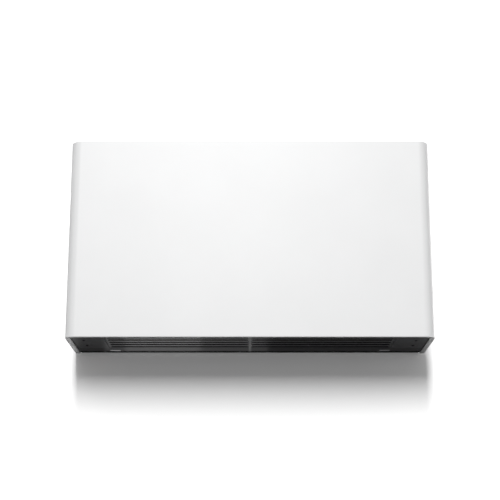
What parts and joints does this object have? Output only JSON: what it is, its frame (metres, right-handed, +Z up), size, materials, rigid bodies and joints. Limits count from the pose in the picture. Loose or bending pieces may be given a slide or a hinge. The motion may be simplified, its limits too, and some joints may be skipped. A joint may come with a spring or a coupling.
{
  "type": "wall-hung fan convector heater",
  "caption": "Wall-hung fan convector: rounded white steel casing over a chassis with fans, a water coil, slotted filter doors below and a grille on top.",
  "frame": {"origin": "middle of the wall bracket's back face, in the plane of the wall", "axes": "+X to the right as seen from the room, +Y into the wall, +Z up"},
  "size_m": [1.2, 0.275, 0.672],
  "materials": {
    "white_powder_coat": "fine satin powder coat",
    "black_powder_coat": "fine satin powder coat",
    "galvanised_steel": "galvanised sheet, faint spangle",
    "zinc_plated_steel": "bright zinc plate",
    "aluminium_fin": "thin pressed fins",
    "copper": "drawn copper tube",
    "brass": "machined brass",
    "motor_enamel": "semi-gloss enamel",
    "black_plastic": "moulded, fine texture",
    "grey_plastic": "moulded, fine texture",
    "white_plastic": "moulded, satin",
    "filter_fabric": "non-woven filter fleece",
    "liner_foam": "open-cell acoustic foam",
    "circuit_green": "solder mask",
    "cable_grey": "matt sheath"
  },
  "bodies": {
    "chassis": {"catch_stud_left": "zinc_plated_steel", "catch_stud_right": "zinc_plated_steel", "wall_bracket": "galvanised_steel", "hanger_rail": "galvanised_steel", "back_plate": "galvanised_steel", "chassis_end_left": "galvanised_steel", "chassis_end_right": "galvanised_steel", "upper_rail": "galvanised_steel", "lower_rail": "galvanised_steel", "chamber_wall_left": "galvanised_steel", "chamber_wall_right": "galvanised_steel", "bottom_tray": "black_powder_coat", "centre_bar": "black_powder_coat", "hinge_rod": "zinc_plated_steel", "door_stop_left": "zinc_plated_steel", "door_stop_right": "zinc_plated_steel", "latch_plate_left": "galvanised_steel", "latch_plate_right": "galvanised_steel", "fan_housing_left": "galvanised_steel", "fan_housing_right": "galvanised_steel", "motor_body": "motor_enamel", "motor_cradle": "galvanised_steel", "fan_deck": "galvanised_steel", "coil_fin_pack": "aluminium_fin", "coil_tube": "copper", "coil_end_left": "galvanised_steel", "coil_end_right": "galvanised_steel", "flow_branch": "copper", "flow_pipe": "copper", "return_pipe": "copper", "valve_body": "brass", "valve_actuator": "white_plastic", "control_box": "grey_plastic", "control_box_cover": "grey_plastic", "circuit_board": "circuit_green", "terminal_block": "white_plastic", "run_capacitor": "white_plastic", "cable_gland": "black_plastic", "motor_lead": "cable_grey", "top_grille": "black_powder_coat"},
    "casing": {"front_casing": "white_powder_coat", "casing_liner": "liner_foam", "catch_clip_left": "black_plastic", "catch_clip_right": "black_plastic"},
    "door_left": {"filter_door_left": "black_powder_coat"},
    "door_right": {"filter_door_right": "black_powder_coat"},
    "filter_left": {"filter_frame_left": "black_plastic", "filter_medium_left": "filter_fabric"},
    "filter_right": {"filter_frame_right": "black_plastic", "filter_medium_right": "filter_fabric"},
    "latch_left": {"door_latch_left": "black_plastic"},
    "latch_right": {"door_latch_right": "black_plastic"},
    "fan_rotor": {"motor_shaft": "zinc_plated_steel", "fan_wheel_left": "galvanised_steel", "fan_wheel_right": "galvanised_steel"},
    "bleed_screw": {"bleed_valve": "brass"}
  },
  "joints": [
    {"name": "casing_slide", "type": "slide", "parent": "chassis", "child": "casing", "axis": [0, -1, 0], "range_m": [0, 0.33]},
    {"name": "door_left_hinge", "type": "hinge", "parent": "chassis", "child": "door_left", "pos_m": [-0.24, -0.0875, -0.55], "axis": [1, 0, 0], "range_deg": [0, 85]},
    {"name": "door_right_hinge", "type": "hinge", "parent": "chassis", "child": "door_right", "pos_m": [0.24, -0.0875, -0.55], "axis": [1, 0, 0], "range_deg": [0, 85]},
    {"name": "filter_left_lift", "type": "slide", "parent": "door_left", "child": "filter_left", "axis": [0, 0, 1], "range_m": [0, 0.022]},
    {"name": "filter_right_lift", "type": "slide", "parent": "door_right", "child": "filter_right", "axis": [0, 0, 1], "range_m": [0, 0.022]},
    {"name": "latch_left_turn", "type": "hinge", "parent": "chassis", "child": "latch_left", "pos_m": [-0.49, -0.251, -0.55], "axis": [0, 0, -1], "range_deg": [0, 90]},
    {"name": "latch_right_turn", "type": "hinge", "parent": "chassis", "child": "latch_right", "pos_m": [0.49, -0.251, -0.55], "axis": [0, 0, 1], "range_deg": [0, 90]},
    {"name": "fan_spin", "type": "hinge", "parent": "chassis", "child": "fan_rotor", "pos_m": [0, -0.14, -0.365], "axis": [1, 0, 0], "continuous": true},
    {"name": "bleed_turn", "type": "hinge", "parent": "chassis", "child": "bleed_screw", "pos_m": [-0.5045, -0.228, -0.15], "axis": [0, 0, 1], "range_deg": [0, 360]}
  ]
}
